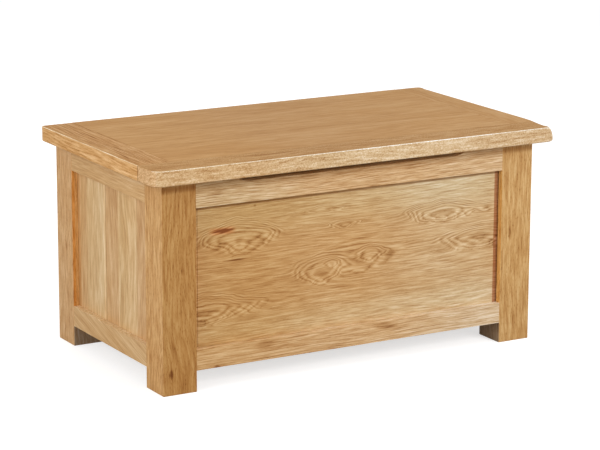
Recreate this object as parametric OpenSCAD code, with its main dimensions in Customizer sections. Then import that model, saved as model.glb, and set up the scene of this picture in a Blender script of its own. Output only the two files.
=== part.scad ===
// Oak blanket box with a hinged lid, four square legs and framed panels.
// Millimetres, +Z up, front towards -Y, origin on the floor under the middle of the box.

/* [Case] */
// Case width over the legs
case_w = 878; // [700:1:1200]
// Case depth over the legs
case_d = 494; // [400:1:650]
// Height of the legs and of the case
case_h = 436; // [350:1:600]
// Side of the square legs
leg_s = 75; // [50:1:95]
// Thickness of the rails
rail_t = 26; // [20:1:32]
// Height of the gap under the bottom rails
rail_bottom_z = 44; // [25:1:80]
// Height of the bottom rails
rail_bottom_h = 44; // [35:1:70]
// Height of the front and back top rails
rail_front_h = 59; // [45:1:80]
// Height of the side top rails
rail_side_h = 54; // [45:1:80]
// Set-back of the back rails from the back of the legs
back_inset = 5; // [4:0.5:12]
// Length of the tenons on the rails
tenon_l = 25; // [15:1:35]
// Thickness of the tenons
tenon_t = 10; // [6:1:14]
// Shoulder above and below each tenon
tenon_shoulder = 6; // [3:1:10]

/* [Panels] */
// Set-back of the panels from the face of the rails
panel_inset = 14; // [8:1:16]
// Thickness of the panels
panel_t = 8; // [6:0.5:9]
// Depth the panels go into their grooves
groove_d = 8; // [5:1:12]
// Width of the thinned strip at each end of the front panel
panel_strip_w = 10; // [4:1:20]
// How much thinner the end strips of the front panel are
panel_strip_drop = 1; // [0.5:0.5:5]

/* [Finger pull] */
// Length of the scoop in the top edge of the front rail
pull_l = 590; // [200:1:640]
// Depth of the scoop
pull_d = 16; // [8:0.5:24]
// Length of the curved run-out at each end of the scoop
pull_run = 50; // [15:1:80]

/* [Base] */
// Number of boards in the base
base_count = 4; // [2:1:6]
// Thickness of the base boards
base_t = 12; // [9:1:18]
// Gap between base boards
base_gap = 1.5; // [0.5:0.5:4]
// Side of the square bearers
bearer_s = 18; // [14:1:24]

/* [Lid] */
// Lid width
lid_w = 950; // [760:1:1300]
// Lid thickness
lid_t = 32; // [24:1:40]
// Overhang of the lid in front of the legs
lid_over_front = 41; // [20:1:60]
// How far the back edge of the lid stops short of the back of the legs
lid_short_back = 4; // [2:1:20]
// Gap between the closed lid and the case
lid_gap = 0.4; // [0.3:0.1:3]
// Depth of the front board of the lid
lid_front_d = 73; // [50:1:110]
// Width of the end boards of the lid
lid_end_w = 73; // [50:1:110]
// Radius of the front corners seen from above
lid_corner_r = 18; // [4:1:40]
// Radius of the back corners seen from above
lid_back_r = 8; // [2:1:20]
// Radius of the rounded top edge on the right-hand end
lid_round_r = 12; // [2:1:24]
// Thickness of the battens under the lid
batten_t = 18; // [12:1:24]
// Width of the battens under the lid
batten_w = 50; // [30:1:70]

/* [Hinges] */
// Distance of each hinge from the middle
hinge_x = 270; // [150:1:330]
// Length of each hinge
hinge_l = 63; // [40:1:90]
// Width of each hinge leaf
leaf_w = 24; // [16:1:26]
// Thickness of each hinge leaf
leaf_t = 2; // [1.5:0.1:3]
// Radius of the hinge knuckles
knuckle_r = 4; // [3:0.1:5]
// Radius of the hinge pins
pin_r = 2; // [1.5:0.1:3]
// Running clearance between a pin and its knuckle
pin_fit = 0.05; // [0.01:0.01:0.1]
// How far the hinge axis stands behind the legs
axis_back = 0.5; // [0.3:0.1:2]

/* [Stays] */
// Length of each arm of the lid stays
arm_l = 155; // [120:1:180]
// Height of the case pivot under the hinge axis
pivot_drop = 38; // [30:1:44]
// Height of the lid pivot under the hinge axis
lid_pivot_drop = 13; // [11:1:20]
// Width of the round eyes at the ends of the stay arms
arm_w = 15; // [12:1:18]
// Width of the stay arms between their eyes
bar_w = 10; // [8:1:11]
// Thickness of the stay arms
arm_t = 2.2; // [1.5:0.1:3]
// Radius of the pivot studs
stud_r = 3; // [2:0.1:4]

/* [Hidden] */
$fn = 48;
shift_y = (lid_over_front - knuckle_r - axis_back) / 2;
hx = case_w / 2;
y_front = shift_y - case_d / 2;
y_back = shift_y + case_d / 2;
y_back_rail = y_back - back_inset;
in_x = hx - leg_s;
in_y0 = y_front + leg_s;
in_y1 = y_back - leg_s;
rail_top_z = case_h - rail_front_h;
side_top_z = case_h - rail_side_h;
bottom_z1 = rail_bottom_z + rail_bottom_h;
lid_z = case_h + lid_gap;
lid_y0 = y_front - lid_over_front;
lid_y1 = y_back - lid_short_back;
lid_hx = lid_w / 2;
axis_y = y_back + axis_back;
axis_z = case_h + lid_gap / 2;
fit = 0.2;
field_y0 = lid_y0 + lid_front_d;
field_d = lid_y1 - field_y0;
lid_board_d = field_d / 4;
pivot_a_y = axis_y - sqrt(arm_l * arm_l - pivot_drop * pivot_drop);
pivot_a_z = axis_z - pivot_drop;
pivot_b_y = axis_y - sqrt(arm_l * arm_l - lid_pivot_drop * lid_pivot_drop);
pivot_b_z = axis_z - lid_pivot_drop;
elbow_y = pivot_a_y + pivot_b_y - axis_y;
elbow_z = pivot_a_z + pivot_b_z - axis_z;
stay_x = hx - rail_t;
// Stays: plates, heads of the studs, screws and the gaps between the layers
plate_t = 2;
plate_r = 9;
case_plate_half = 20;
lid_plate_half = 24;
lid_plate_w = 16;
lid_screw_dy = 17;
head_t = 1.6;
head_over = 2;
head_gap = 0.4;
layer_gap = 0.6;
arm1_x = stay_x - plate_t - layer_gap - arm_t;
arm2_x = arm1_x - layer_gap - arm_t;
lid_plate_x = arm2_x - layer_gap - plate_t;
stay_screw_r = 1.6;
stay_screw_head_r = 3.2;
stay_screw_l = 13;
// Hinges: gap beside the knuckles, and the screws in two staggered rows
knuckle_gap = 0.3;
leaf_gap = 0.4;
hinge_screw_r = 1.8;
hinge_screw_head_r = 3.6;
hinge_screw_l = 16;
hinge_screw_step = hinge_l * 0.34;
hinge_row_outer = 9.5;
hinge_row_middle = 6.5;
screw_fit = 0.15;
// Joinery: set-back of the tenons, and room round the base, bearers and battens
tenon_back = 1;
base_room = 1;
bearer_room = 4;
batten_x = 180;
batten_front_room = 30;
batten_back_room = 40;
// How far a cutting body runs past what it cuts
past = 1;

// Box from its low corner and its high corner
module slab(x0, x1, y0, y1, z0, z1) {
    translate([x0, y0, z0])
        cube([x1 - x0, y1 - y0, z1 - z0]);
}

// Mirrors what is drawn on the right-hand side to the left when sx is -1
module on_side(sx) {
    mirror([sx < 0 ? 1 : 0, 0, 0])
        children();
}

// Everything that is let into a leg or fixed through it, on the right-hand side
module side_cuts(x_side) {
    on_side(x_side) {
        side_tenons(side_top_z, case_h, fit);
        side_tenons(rail_bottom_z, bottom_z1, fit);
        side_panel_body(fit);
    }
}

// Tenons of a side rail between two heights, on the right-hand side
module side_tenons(z0, z1, c) {
    mid = hx - rail_t / 2 - tenon_back;
    slab(mid - tenon_t / 2 - c / 2, mid + tenon_t / 2 + c / 2,
        in_y0 - tenon_l - c, in_y1 + tenon_l + c,
        z0 + tenon_shoulder - c / 2, z1 - tenon_shoulder + c / 2);
}

// Tenons of a front or back rail between two heights
module long_tenons(y_face, dir, z0, z1, c) {
    mid = y_face + dir * (rail_t / 2 + tenon_back);
    slab(-in_x - tenon_l - c, in_x + tenon_l + c,
        mid - tenon_t / 2 - c / 2, mid + tenon_t / 2 + c / 2,
        z0 + tenon_shoulder - c / 2, z1 - tenon_shoulder + c / 2);
}

// Side panel with its edges in the grooves, on the right-hand side
module side_panel_body(c) {
    slab(hx - panel_inset - panel_t - c / 2, hx - panel_inset + c / 2,
        in_y0 - groove_d - c, in_y1 + groove_d + c,
        bottom_z1 - groove_d - c, side_top_z + groove_d + c);
}

// Front or back panel with its edges in the grooves
module long_panel_body(y_face, dir, inset, c) {
    y0 = y_face + dir * inset;
    y1 = y0 + dir * panel_t;
    slab(-in_x - groove_d - c, in_x + groove_d + c,
        min(y0, y1) - c / 2, max(y0, y1) + c / 2,
        bottom_z1 - groove_d - c, rail_top_z + groove_d + c);
}

module front_cuts() {
    long_tenons(y_front, 1, rail_top_z, case_h, fit);
    long_tenons(y_front, 1, rail_bottom_z, bottom_z1, fit);
    long_panel_body(y_front, 1, panel_inset, fit);
}

module back_cuts() {
    long_tenons(y_back_rail, -1, rail_top_z, case_h, fit);
    long_tenons(y_back_rail, -1, rail_bottom_z, bottom_z1, fit);
    long_panel_body(y_back_rail, -1, panel_inset - back_inset, fit);
}

module leg(x_side, y0) {
    x0 = x_side > 0 ? in_x : -hx;
    difference() {
        slab(x0, x0 + leg_s, y0, y0 + leg_s, 0, case_h);
        side_cuts(x_side);
        front_cuts();
        back_cuts();
    }
}

module leg_front_left() {
    color("#c99a5f")
        leg(-1, y_front);
}

module leg_front_right() {
    color("#c99a5f")
        leg(1, y_front);
}

module leg_back_left() {
    color("#c99a5f")
        leg(-1, in_y1);
}

module leg_back_right() {
    color("#c99a5f")
        leg(1, in_y1);
}

// Outline of the scoop, S-curved at both ends
function pull_depth(t) = pull_d * (3 * t * t - 2 * t * t * t);
function pull_left() =
    [for (t = [0:0.1:1]) [-pull_l / 2 + pull_run * t, -pull_depth(t)]];
function pull_right() =
    [for (t = [0:0.1:1]) [pull_l / 2 - pull_run * (1 - t), -pull_depth(1 - t)]];

module pull_cut() {
    translate([0, y_front + rail_t + past, case_h])
        rotate([90, 0, 0])
            linear_extrude(rail_t + 2 * past)
                polygon(concat(pull_left(), pull_right(),
                    [[pull_l / 2, past], [-pull_l / 2, past]]));
}

module rail_front_top() {
    color("#d2a66c")
        difference() {
            union() {
                slab(-in_x, in_x, y_front, y_front + rail_t, rail_top_z, case_h);
                long_tenons(y_front, 1, rail_top_z, case_h, 0);
            }
            long_panel_body(y_front, 1, panel_inset, fit);
            pull_cut();
        }
}

module rail_front_bottom() {
    color("#d2a66c")
        difference() {
            union() {
                slab(-in_x, in_x, y_front, y_front + rail_t, rail_bottom_z, bottom_z1);
                long_tenons(y_front, 1, rail_bottom_z, bottom_z1, 0);
            }
            long_panel_body(y_front, 1, panel_inset, fit);
        }
}

module rail_back_top() {
    color("#d2a66c")
        difference() {
            union() {
                slab(-in_x, in_x, y_back_rail - rail_t, y_back_rail, rail_top_z, case_h);
                long_tenons(y_back_rail, -1, rail_top_z, case_h, 0);
            }
            long_panel_body(y_back_rail, -1, panel_inset - back_inset, fit);
            hinge_recess(-1, 0);
            hinge_recess(1, 0);
            screw_set_case();
        }
}

module rail_back_bottom() {
    color("#d2a66c")
        difference() {
            union() {
                slab(-in_x, in_x, y_back_rail - rail_t, y_back_rail, rail_bottom_z, bottom_z1);
                long_tenons(y_back_rail, -1, rail_bottom_z, bottom_z1, 0);
            }
            long_panel_body(y_back_rail, -1, panel_inset - back_inset, fit);
        }
}

module side_top_rail(x_side) {
    difference() {
        on_side(x_side)
            difference() {
                union() {
                    slab(hx - rail_t, hx, in_y0, in_y1, side_top_z, case_h);
                    side_tenons(side_top_z, case_h, 0);
                }
                side_panel_body(fit);
            }
        stay_screw_set_case();
    }
}

module side_bottom_rail(x_side) {
    on_side(x_side)
        difference() {
            union() {
                slab(hx - rail_t, hx, in_y0, in_y1, rail_bottom_z, bottom_z1);
                side_tenons(rail_bottom_z, bottom_z1, 0);
            }
            side_panel_body(fit);
        }
}

module rail_left_top() {
    color("#cf9f66")
        side_top_rail(-1);
}

module rail_left_bottom() {
    color("#cf9f66")
        side_bottom_rail(-1);
}

module rail_right_top() {
    color("#cf9f66")
        side_top_rail(1);
}

module rail_right_bottom() {
    color("#cf9f66")
        side_bottom_rail(1);
}

module panel_front() {
    strip_x = in_x - panel_strip_w;
    y0 = y_front + panel_inset;
    color("#d6ae78")
        difference() {
            long_panel_body(y_front, 1, panel_inset, 0);
            for (side = [0, 1])
                mirror([side, 0, 0])
                    slab(strip_x, in_x + groove_d + past,
                        y0 - past, y0 + panel_strip_drop, 0, case_h);
        }
}

module panel_back() {
    color("#d6ae78")
        long_panel_body(y_back_rail, -1, panel_inset - back_inset, 0);
}

module panel_left() {
    color("#dcb985")
        on_side(-1)
            side_panel_body(0);
}

module panel_right() {
    color("#dcb985")
        side_panel_body(0);
}

// Boards of the base, notched round the legs at the corners
module base_boards() {
    base_y0 = y_front + rail_t + base_room;
    base_y1 = y_back_rail - rail_t - base_room;
    step = (base_y1 - base_y0 + base_gap) / base_count;
    z0 = rail_bottom_z + bearer_s;
    color("#cfa873")
        for (i = [0:base_count - 1])
            difference() {
                slab(-hx + rail_t + base_room, hx - rail_t - base_room,
                    base_y0 + i * step, base_y0 + (i + 1) * step - base_gap, z0, z0 + base_t);
                base_notches(z0);
            }
}

module base_notches(z0) {
    for (sx = [-1, 1])
        for (y0 = [y_front, in_y1])
            on_side(sx)
                slab(in_x - base_room, hx, y0 - base_room, y0 + leg_s + base_room,
                    z0 - past, z0 + base_t + past);
}

module base_bearers() {
    color("#c8a06a") {
        for (y0 = [y_front + rail_t, y_back_rail - rail_t - bearer_s])
            slab(-in_x + bearer_room, in_x - bearer_room, y0, y0 + bearer_s,
                rail_bottom_z, rail_bottom_z + bearer_s);
        for (sx = [-1, 1])
            on_side(sx)
                slab(hx - rail_t - bearer_s, hx - rail_t,
                    in_y0 + bearer_room, in_y1 - bearer_room,
                    rail_bottom_z, rail_bottom_z + bearer_s);
    }
}

// Plan of the lid with its rounded corners
module lid_plan() {
    rf = lid_corner_r;
    rb = lid_back_r;
    union() {
        translate([-lid_hx + rf, lid_y0])
            square([lid_w - 2 * rf, rf]);
        translate([-lid_hx, lid_y0 + rf])
            square([lid_w, lid_y1 - lid_y0 - rf - rb]);
        translate([-lid_hx + rb, lid_y1 - rb])
            square([lid_w - 2 * rb, rb]);
        for (sx = [-1, 1]) {
            translate([sx * (lid_hx - rf), lid_y0 + rf])
                circle(rf, $fn = 64);
            translate([sx * (lid_hx - rb), lid_y1 - rb])
                circle(rb, $fn = 48);
        }
    }
}

// Solid taken off the top of the right-hand end to round it
module lid_round_cut() {
    difference() {
        slab(lid_hx - lid_round_r, lid_hx + past, lid_y0 - past, lid_y1 + past,
            lid_z + lid_t - lid_round_r, lid_z + lid_t + past);
        translate([lid_hx - lid_round_r, lid_y1 + 2 * past, lid_z + lid_t - lid_round_r])
            rotate([90, 0, 0])
                cylinder(r = lid_round_r, h = lid_y1 - lid_y0 + 4 * past, $fn = 64);
    }
}

// Part of the lid between two x and two y
module lid_piece(x0, x1, y0, y1) {
    difference() {
        translate([0, 0, lid_z])
            linear_extrude(lid_t)
                intersection() {
                    lid_plan();
                    translate([x0, y0])
                        square([x1 - x0, y1 - y0]);
                }
        lid_round_cut();
    }
}

module lid_front_board() {
    color("#d6ac74")
        lid_piece(-lid_hx, lid_hx, lid_y0, field_y0);
}

module lid_end_left() {
    color("#cfa069")
        lid_piece(-lid_hx, -lid_hx + lid_end_w, field_y0, lid_y1);
}

module lid_end_right() {
    color("#cfa069")
        lid_piece(lid_hx - lid_end_w, lid_hx, field_y0, lid_y1);
}

// One of the four centre boards, counted from the front
module lid_board(i) {
    difference() {
        slab(-lid_hx + lid_end_w, lid_hx - lid_end_w,
            field_y0 + i * lid_board_d, field_y0 + (i + 1) * lid_board_d, lid_z, lid_z + lid_t);
        hinge_recess(-1, 1);
        hinge_recess(1, 1);
        screw_set_lid();
        stay_screw_set_lid();
    }
}

module lid_board_1() {
    color("#cc9f68")
        lid_board(0);
}

module lid_board_2() {
    color("#c99b63")
        lid_board(1);
}

module lid_board_3() {
    color("#cda06a")
        lid_board(2);
}

module lid_board_4() {
    color("#ca9d66")
        lid_board(3);
}

module lid_battens() {
    color("#c99f68")
        for (sx = [-1, 1])
            slab(sx * batten_x - batten_w / 2, sx * batten_x + batten_w / 2,
                y_front + rail_t + batten_front_room, y_back_rail - rail_t - batten_back_room,
                lid_z - batten_t, lid_z);
}

// Recess for a hinge leaf, in the case when part is 0 and in the lid when it is 1
module hinge_recess(sx, part) {
    x0 = sx * hinge_x - hinge_l / 2;
    y0 = axis_y - leaf_w;
    z0 = part == 0 ? case_h - leaf_t : lid_z - past;
    z1 = part == 0 ? case_h + past : lid_z + leaf_t;
    slab(x0 - fit, x0 + hinge_l + fit, y0 - fit, y_back + past, z0, z1);
}

// Leaf with its knuckles; the case leaf has the two outer ones, the lid leaf the middle one
module hinge_leaf(sx, part) {
    x0 = sx * hinge_x - hinge_l / 2;
    third = hinge_l / 3;
    z0 = part == 0 ? case_h - leaf_t : lid_z;
    y_end = axis_y - knuckle_r - leaf_gap;
    difference() {
        union() {
            slab(x0, x0 + hinge_l, axis_y - leaf_w, y_end, z0, z0 + leaf_t);
            if (part == 0) {
                knuckle(x0, third - knuckle_gap, z0);
                knuckle(x0 + 2 * third + knuckle_gap, third - knuckle_gap, z0);
            }
            if (part == 1)
                knuckle(x0 + third, third, z0);
        }
        translate([x0 - past, axis_y, axis_z])
            rotate([0, 90, 0])
                cylinder(r = pin_r + pin_fit, h = hinge_l + 2 * past);
        screw_holes(sx, part);
    }
}

module knuckle(x0, w, z0) {
    translate([x0, axis_y, axis_z])
        rotate([0, 90, 0])
            cylinder(r = knuckle_r, h = w);
    slab(x0, x0 + w, axis_y - leaf_w / 2, axis_y, z0, z0 + leaf_t);
}

function hinge_screw_x(i) = (i - 1) * hinge_screw_step;
function hinge_screw_y(i) = axis_y - leaf_w + (i == 1 ? hinge_row_middle : hinge_row_outer);

module screw_holes(sx, part) {
    for (i = [0:2])
        translate([sx * hinge_x + hinge_screw_x(i), hinge_screw_y(i), 0])
            screw_solid(part, screw_fit);
}

// Countersunk wood screw, pointing down into the case or up into the lid
module screw_solid(part, c) {
    z0 = part == 0 ? case_h : lid_z;
    translate([0, 0, z0])
        mirror([0, 0, part == 0 ? 1 : 0]) {
            cylinder(r1 = hinge_screw_head_r + c, r2 = hinge_screw_r + c,
                h = leaf_t + c / 2, $fn = 32);
            cylinder(r = hinge_screw_r + c, h = hinge_screw_l + c, $fn = 32);
        }
}

module screw_set(part, c) {
    for (sx = [-1, 1])
        for (i = [0:2])
            translate([sx * hinge_x + hinge_screw_x(i), hinge_screw_y(i), 0])
                screw_solid(part, c);
}

module screw_set_case() {
    screw_set(0, 0);
}

module screw_set_lid() {
    screw_set(1, 0);
}

module hinge_pin(sx) {
    translate([sx * hinge_x - hinge_l / 2, axis_y, axis_z])
        rotate([0, 90, 0])
            cylinder(r = pin_r, h = hinge_l);
}

module hinge_left_case_leaf() {
    color("#b8975a")
        hinge_leaf(-1, 0);
}

module hinge_left_lid_leaf() {
    color("#b8975a")
        hinge_leaf(-1, 1);
}

module hinge_left_pin() {
    color("#a98a50")
        hinge_pin(-1);
}

module hinge_right_case_leaf() {
    color("#b8975a")
        hinge_leaf(1, 0);
}

module hinge_right_lid_leaf() {
    color("#b8975a")
        hinge_leaf(1, 1);
}

module hinge_right_pin() {
    color("#a98a50")
        hinge_pin(1);
}

module hinge_screws_case() {
    color("#a98a50")
        screw_set(0, 0);
}

module hinge_screws_lid() {
    color("#a98a50")
        screw_set(1, 0);
}

// Disc lying across the box, from one x to another, on the right-hand side
module disc(x0, x1, y, z, r) {
    translate([x0, y, z])
        rotate([0, 90, 0])
            cylinder(r = r, h = x1 - x0);
}

// Outline of a stay arm along +X, with a round eye and its hole at each end
module arm_outline(span, ra, rb) {
    difference() {
        union() {
            circle(arm_w / 2);
            translate([0, -bar_w / 2])
                square([span, bar_w]);
            translate([span, 0])
                circle(arm_w / 2);
        }
        circle(ra);
        translate([span, 0])
            circle(rb);
    }
}

// Flat arm from one pivot to another, on the right-hand side
module flat_arm(x0, ya, za, yb, zb, ra, rb) {
    span = sqrt((yb - ya) * (yb - ya) + (zb - za) * (zb - za));
    translate([x0, ya, za])
        rotate([atan2(zb - za, yb - ya), 0, 0])
            rotate([90, 0, 90])
                linear_extrude(arm_t)
                    arm_outline(span, ra, rb);
}

// Plate on the side rail with the lower pivot stud
module stay_case_bracket(sx) {
    head_x = arm1_x - head_gap;
    on_side(sx)
        difference() {
            union() {
                for (dy = [-case_plate_half, case_plate_half])
                    disc(stay_x - plate_t, stay_x, pivot_a_y + dy, pivot_a_z, plate_r);
                slab(stay_x - plate_t, stay_x,
                    pivot_a_y - case_plate_half, pivot_a_y + case_plate_half,
                    pivot_a_z - plate_r, pivot_a_z + plate_r);
                disc(head_x - head_t, stay_x - plate_t, pivot_a_y, pivot_a_z, stud_r);
                disc(head_x - head_t, head_x, pivot_a_y, pivot_a_z, stud_r + head_over);
            }
            stay_case_screws(screw_fit);
        }
}

module stay_lower_arm(sx) {
    on_side(sx)
        flat_arm(arm1_x, pivot_a_y, pivot_a_z, elbow_y, elbow_z, stud_r + pin_fit, stud_r);
}

module stay_elbow_rivet(sx) {
    x1 = arm1_x + arm_t;
    x0 = arm2_x - head_gap;
    on_side(sx) {
        disc(x0, x1, elbow_y, elbow_z, stud_r);
        disc(x0 - head_t, x0, elbow_y, elbow_z, stud_r + head_over);
        disc(x1, x1 + head_t, elbow_y, elbow_z, stud_r + head_over);
    }
}

module stay_upper_arm(sx) {
    on_side(sx)
        flat_arm(arm2_x, pivot_b_y, pivot_b_z, elbow_y, elbow_z,
            stud_r + pin_fit, stud_r + pin_fit);
}

// Angle bracket under the lid with the upper pivot stud
module stay_lid_bracket(sx) {
    x1 = lid_plate_x + plate_t;
    head_x = arm2_x + arm_t + head_gap;
    on_side(sx)
        difference() {
            union() {
                slab(x1 - lid_plate_w, x1, pivot_b_y - lid_plate_half, pivot_b_y + lid_plate_half,
                    lid_z - plate_t, lid_z);
                slab(lid_plate_x, x1, pivot_b_y - plate_r, pivot_b_y + plate_r, pivot_b_z, lid_z);
                disc(lid_plate_x, x1, pivot_b_y, pivot_b_z, plate_r);
                disc(x1, head_x + head_t, pivot_b_y, pivot_b_z, stud_r);
                disc(head_x, head_x + head_t, pivot_b_y, pivot_b_z, stud_r + head_over);
            }
            stay_lid_screws(screw_fit);
        }
}

// Countersunk screw pointing along +Z from its head
module small_screw(c) {
    cylinder(r1 = stay_screw_head_r + c, r2 = stay_screw_r + c, h = plate_t + c / 2, $fn = 32);
    cylinder(r = stay_screw_r + c, h = stay_screw_l + c, $fn = 32);
}

module stay_case_screws(c) {
    for (dy = [-case_plate_half, case_plate_half])
        translate([stay_x - plate_t, pivot_a_y + dy, pivot_a_z])
            rotate([0, 90, 0])
                small_screw(c);
}

module stay_lid_screws(c) {
    for (dy = [-lid_screw_dy, lid_screw_dy])
        translate([lid_plate_x + plate_t - lid_plate_w / 2, pivot_b_y + dy, lid_z - plate_t])
            small_screw(c);
}

module stay_screw_set_case() {
    for (sx = [-1, 1])
        on_side(sx)
            stay_case_screws(0);
}

module stay_screw_set_lid() {
    for (sx = [-1, 1])
        on_side(sx)
            stay_lid_screws(0);
}

module stay_left_case_bracket() {
    color("#a9a9a4")
        stay_case_bracket(-1);
}

module stay_left_lower_arm() {
    color("#b4b4ae")
        stay_lower_arm(-1);
}

module stay_left_elbow_rivet() {
    color("#9d9d98")
        stay_elbow_rivet(-1);
}

module stay_left_upper_arm() {
    color("#b4b4ae")
        stay_upper_arm(-1);
}

module stay_left_lid_bracket() {
    color("#a9a9a4")
        stay_lid_bracket(-1);
}

module stay_right_case_bracket() {
    color("#a9a9a4")
        stay_case_bracket(1);
}

module stay_right_lower_arm() {
    color("#b4b4ae")
        stay_lower_arm(1);
}

module stay_right_elbow_rivet() {
    color("#9d9d98")
        stay_elbow_rivet(1);
}

module stay_right_upper_arm() {
    color("#b4b4ae")
        stay_upper_arm(1);
}

module stay_right_lid_bracket() {
    color("#a9a9a4")
        stay_lid_bracket(1);
}

module stay_screws_case() {
    color("#9d9d98")
        stay_screw_set_case();
}

module stay_screws_lid() {
    color("#9d9d98")
        stay_screw_set_lid();
}

leg_front_left();
leg_front_right();
leg_back_left();
leg_back_right();
rail_front_top();
rail_front_bottom();
rail_back_top();
rail_back_bottom();
rail_left_top();
rail_left_bottom();
rail_right_top();
rail_right_bottom();
panel_front();
panel_back();
panel_left();
panel_right();
base_boards();
base_bearers();
lid_front_board();
lid_end_left();
lid_end_right();
lid_board_1();
lid_board_2();
lid_board_3();
lid_board_4();
lid_battens();
hinge_left_case_leaf();
hinge_left_lid_leaf();
hinge_left_pin();
hinge_right_case_leaf();
hinge_right_lid_leaf();
hinge_right_pin();
hinge_screws_case();
hinge_screws_lid();
stay_left_case_bracket();
stay_left_lower_arm();
stay_left_elbow_rivet();
stay_left_upper_arm();
stay_left_lid_bracket();
stay_right_case_bracket();
stay_right_lower_arm();
stay_right_elbow_rivet();
stay_right_upper_arm();
stay_right_lid_bracket();
stay_screws_case();
stay_screws_lid();
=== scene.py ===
# %% [markdown]
# # An oak blanket box
# This lesson dresses a measured model of an oak blanket box. The model already holds every
# board, hinge and stay at its real size, so nothing is resized here. What is left is what the
# eye enjoys: the grain of each board, the eased edges, the brass and the steel, and the light.
# The box stands on the floor, its front looks towards -Y, and all lengths are in metres.

# %% Load the measured model
import math

import bmesh
import bpy
from mathutils import Euler, Matrix, Vector


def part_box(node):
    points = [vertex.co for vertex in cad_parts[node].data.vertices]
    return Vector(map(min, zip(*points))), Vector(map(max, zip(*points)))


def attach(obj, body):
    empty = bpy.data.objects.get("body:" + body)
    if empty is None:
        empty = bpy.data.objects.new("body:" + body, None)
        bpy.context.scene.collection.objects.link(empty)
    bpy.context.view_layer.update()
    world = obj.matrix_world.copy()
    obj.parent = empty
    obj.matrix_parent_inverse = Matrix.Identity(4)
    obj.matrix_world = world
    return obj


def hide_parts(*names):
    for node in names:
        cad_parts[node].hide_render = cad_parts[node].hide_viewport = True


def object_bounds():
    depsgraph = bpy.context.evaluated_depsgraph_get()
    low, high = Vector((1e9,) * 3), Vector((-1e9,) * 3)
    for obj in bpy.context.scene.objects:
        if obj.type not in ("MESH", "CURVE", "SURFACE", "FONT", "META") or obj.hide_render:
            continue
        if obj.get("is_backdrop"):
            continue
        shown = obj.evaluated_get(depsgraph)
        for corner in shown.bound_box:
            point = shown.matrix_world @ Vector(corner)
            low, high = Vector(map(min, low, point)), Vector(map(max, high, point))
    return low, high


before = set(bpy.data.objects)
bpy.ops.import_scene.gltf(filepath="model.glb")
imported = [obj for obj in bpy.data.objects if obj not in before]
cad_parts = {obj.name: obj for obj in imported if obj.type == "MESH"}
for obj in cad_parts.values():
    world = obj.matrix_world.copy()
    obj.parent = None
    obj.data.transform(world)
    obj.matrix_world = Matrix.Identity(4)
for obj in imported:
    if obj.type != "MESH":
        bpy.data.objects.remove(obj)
cad_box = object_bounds()
MM = 0.001
print("boards and fittings in the model:", len(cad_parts))

# %% [markdown]
# ## Small tools for building a finish
# A finish in Blender is a tree of nodes. Placing nodes by hand is slow when two dozen boards
# need one each, so four short helpers add a node, do a sum, do a sum on points, and fade
# smoothly from one value to another. Every finish below is written with them.

# %% Helpers for shader nodes
def add_node(tree, kind, settings, inputs):
    """Adds a node, sets its options, and links or fills its inputs."""
    node = tree.nodes.new(kind)
    for option, choice in settings.items():
        setattr(node, option, choice)
    for socket, value in inputs.items():
        if isinstance(value, bpy.types.NodeSocket):
            tree.links.new(value, node.inputs[socket])
        else:
            node.inputs[socket].default_value = value
    return node


def calc(tree, operation, *numbers):
    """One step of arithmetic."""
    node = add_node(tree, "ShaderNodeMath", {"operation": operation}, dict(enumerate(numbers)))
    return node.outputs[0]


def vector_calc(tree, operation, *vectors):
    """One step of arithmetic on points."""
    inputs = dict(enumerate(vectors))
    node = add_node(tree, "ShaderNodeVectorMath", {"operation": operation}, inputs)
    return node.outputs["Value" if operation == "LENGTH" else "Vector"]


def fade(tree, value, start, end, low=0.0, high=1.0):
    """Goes smoothly from low to high as value goes from start to end."""
    inputs = {"Value": value, "From Min": start, "From Max": end, "To Min": low, "To Max": high}
    node = add_node(tree, "ShaderNodeMapRange", {"interpolation_type": "SMOOTHSTEP"}, inputs)
    return node.outputs["Result"]


# %% [markdown]
# Wood is full of long thin things: fibres, pores, streaks. All of them are noise that has been
# pulled out along the grain. One helper makes such noise from two counts, how many waves there
# are in a metre along the grain and how many across it. Two more lay a ramp of colours over a
# value and multiply a colour by a tint, which is how paint and stain work on wood.

# %% Noise pulled out along the grain, ramps and tints
def streaks(tree, place, along, across, seed, detail=2.0):
    """Noise around 0.5 with so many waves per metre along the grain and across it."""
    shift = (seed, seed * 1.7, seed * 0.6)
    pulled = vector_calc(tree, "MULTIPLY_ADD", place, (along, across, across), shift)
    inputs = {"Vector": pulled, "Scale": 1.0, "Detail": detail}
    return add_node(tree, "ShaderNodeTexNoise", {}, inputs).outputs["Fac"]


def painted(tree, factor, stops, interpolation="LINEAR"):
    """A ramp of colours, given as (position, colour) pairs."""
    node = add_node(tree, "ShaderNodeValToRGB", {}, {"Fac": factor})
    ramp = node.color_ramp
    ramp.interpolation = interpolation
    while len(ramp.elements) < len(stops):
        ramp.elements.new(1.0)
    for element, (position, colour) in zip(ramp.elements, stops):
        element.position = position
        element.color = (*colour, 1.0)
    return node.outputs["Color"]


def tinted(tree, colour, factor, tint):
    """Multiplies a colour by a tint where factor is 1 and leaves it where factor is 0."""
    inputs = {0: factor, 6: colour, 7: (*tint, 1.0) if isinstance(tint, tuple) else tint}
    settings = {"data_type": "RGBA", "blend_type": "MULTIPLY"}
    return add_node(tree, "ShaderNodeMix", settings, inputs).outputs[2]


# %% [markdown]
# ## How oak grows
# A board is a slice of a trunk, and the figure on its face is where the slice crosses the
# growth rings. So the finish is solid: it counts rings outwards from the heart of the tree,
# and each face of a board shows its own cut through them, lines along the face and arcs on
# the end. The heart wanders as it goes up the trunk, which draws the long waves. A swell in
# the trunk, near a branch, closes the rings into an eye. Some years crowd together and others
# drift apart, so one slow noise and one quicker one are added to the count.
#
# From here on a spot on a board is four lengths: along the grain and across it from the middle
# of the board, then half its length and half its width.

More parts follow.
